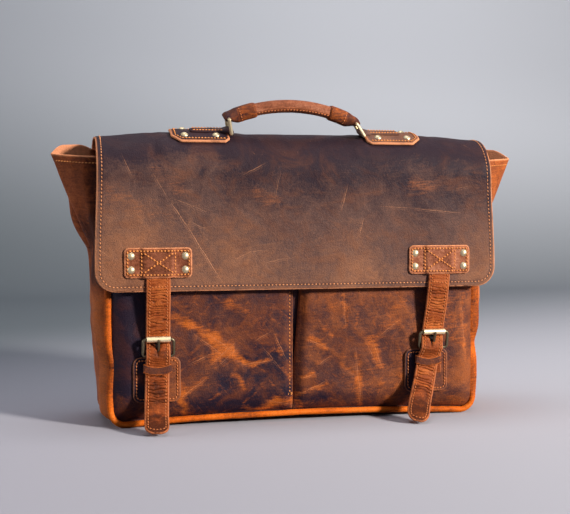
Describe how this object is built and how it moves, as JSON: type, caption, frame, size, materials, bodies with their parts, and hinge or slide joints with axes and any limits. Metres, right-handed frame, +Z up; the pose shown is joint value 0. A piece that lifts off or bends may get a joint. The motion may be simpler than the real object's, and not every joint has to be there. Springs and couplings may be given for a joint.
{
  "type": "satchel bag",
  "caption": "Soft leather satchel with a full front flap, buckled closing straps over front pockets, folded side gussets and a rolled top handle on rings.",
  "frame": {"origin": "middle of the bottom panel's underside, on the surface that the bag stands on", "axes": "+X to the right seen from the front, -Y to the front, +Z up"},
  "size_m": [0.5118, 0.1536, 0.34],
  "materials": {
    "flap_leather": "pull-up leather, dark brown with rubbed pale scratches",
    "pocket_leather": "pull-up leather, brown with orange creases",
    "gusset_leather": "pull-up leather, orange brown",
    "strap_leather": "strap leather, orange brown with cross wrinkles",
    "divider_suede": "rough flesh side",
    "core_cord": "twisted cotton cord",
    "brass_fittings": "pale brass, lightly tarnished"
  },
  "bodies": {
    "bag": {"back_panel": "pocket_leather", "front_panel": "pocket_leather", "left_gusset": "gusset_leather", "right_gusset": "gusset_leather", "bottom_panel": "gusset_leather", "front_piping": "gusset_leather", "back_piping": "gusset_leather", "divider": "divider_suede", "left_pocket": "pocket_leather", "right_pocket": "pocket_leather", "left_buckle_patch": "strap_leather", "right_buckle_patch": "strap_leather", "left_chape": "strap_leather", "right_chape": "strap_leather", "left_keeper": "strap_leather", "right_keeper": "strap_leather"},
    "flap_top": {"flap_crown": "flap_leather", "left_handle_anchor": "strap_leather", "right_handle_anchor": "strap_leather", "handle_rivets": "brass_fittings"},
    "flap_leaf": {"flap_front": "flap_leather", "left_strap_anchor": "strap_leather", "right_strap_anchor": "strap_leather", "strap_rivets": "brass_fittings", "left_strap": "strap_leather", "right_strap": "strap_leather"},
    "left_ring_body": {"left_ring": "brass_fittings"},
    "right_ring_body": {"right_ring": "brass_fittings"},
    "handle": {"handle_grip": "strap_leather", "handle_core": "core_cord", "left_handle_loop": "strap_leather", "right_handle_loop": "strap_leather"},
    "left_buckle": {"left_buckle_frame": "brass_fittings"},
    "left_prong_body": {"left_prong": "brass_fittings"},
    "left_roller_body": {"left_roller": "brass_fittings"},
    "right_buckle": {"right_buckle_frame": "brass_fittings"},
    "right_prong_body": {"right_prong": "brass_fittings"},
    "right_roller_body": {"right_roller": "brass_fittings"}
  },
  "joints": [
    {"name": "flap_lift", "type": "hinge", "parent": "bag", "child": "flap_top", "pos_m": [0, 0.046, 0.28686], "axis": [-1, 0, 0], "range_deg": [0, 120], "deforming": ["left_strap", "right_strap"]},
    {"name": "leaf_lift", "type": "hinge", "parent": "flap_top", "child": "flap_leaf", "pos_m": [0, -0.0674, 0.26085], "axis": [-1, 0, 0], "range_deg": [0, 90], "deforming": ["left_strap", "right_strap"]},
    {"name": "left_ring_tilt", "type": "hinge", "parent": "flap_top", "child": "left_ring_body", "pos_m": [-0.072, -0.0375, 0.30746], "axis": [0, 0.9511, 0.309], "range_deg": [-5, 45]},
    {"name": "right_ring_tilt", "type": "hinge", "parent": "flap_top", "child": "right_ring_body", "pos_m": [0.072, -0.0375, 0.30746], "axis": [0, 0.9511, 0.309], "range_deg": [-6, 48]},
    {"name": "handle_swing", "type": "hinge", "parent": "left_ring_body", "child": "handle", "pos_m": [-0.07512, -0.04203, 0.32141], "axis": [0, 0.9511, 0.309], "range_deg": [-48, 6]},
    {"name": "left_buckle_tilt", "type": "hinge", "parent": "bag", "child": "left_buckle", "pos_m": [-0.151, -0.0639, 0.0755], "axis": [1, 0, 0], "range_deg": [0, 60], "deforming": ["left_strap"]},
    {"name": "left_prong_lift", "type": "hinge", "parent": "left_buckle", "child": "left_prong_body", "pos_m": [-0.151, -0.0639, 0.0755], "axis": [1, 0, 0], "range_deg": [0, 45], "deforming": ["left_strap"]},
    {"name": "left_roller_spin", "type": "hinge", "parent": "left_buckle", "child": "left_roller_body", "pos_m": [-0.151, -0.0673, 0.093], "axis": [1, 0, 0], "continuous": true},
    {"name": "right_buckle_tilt", "type": "hinge", "parent": "bag", "child": "right_buckle", "pos_m": [0.146, -0.0639, 0.0755], "axis": [1, 0, 0], "range_deg": [0, 60], "deforming": ["right_strap"]},
    {"name": "right_prong_lift", "type": "hinge", "parent": "right_buckle", "child": "right_prong_body", "pos_m": [0.146, -0.0639, 0.0755], "axis": [1, 0, 0], "range_deg": [0, 45], "deforming": ["right_strap"]},
    {"name": "right_roller_spin", "type": "hinge", "parent": "right_buckle", "child": "right_roller_body", "pos_m": [0.146, -0.0673, 0.093], "axis": [1, 0, 0], "continuous": true}
  ],
  "couplings": [
    {"joint": "right_ring_tilt", "follows": "left_ring_tilt", "ratio": 1.06},
    {"joint": "handle_swing", "follows": "left_ring_tilt", "ratio": -1.046}
  ]
}
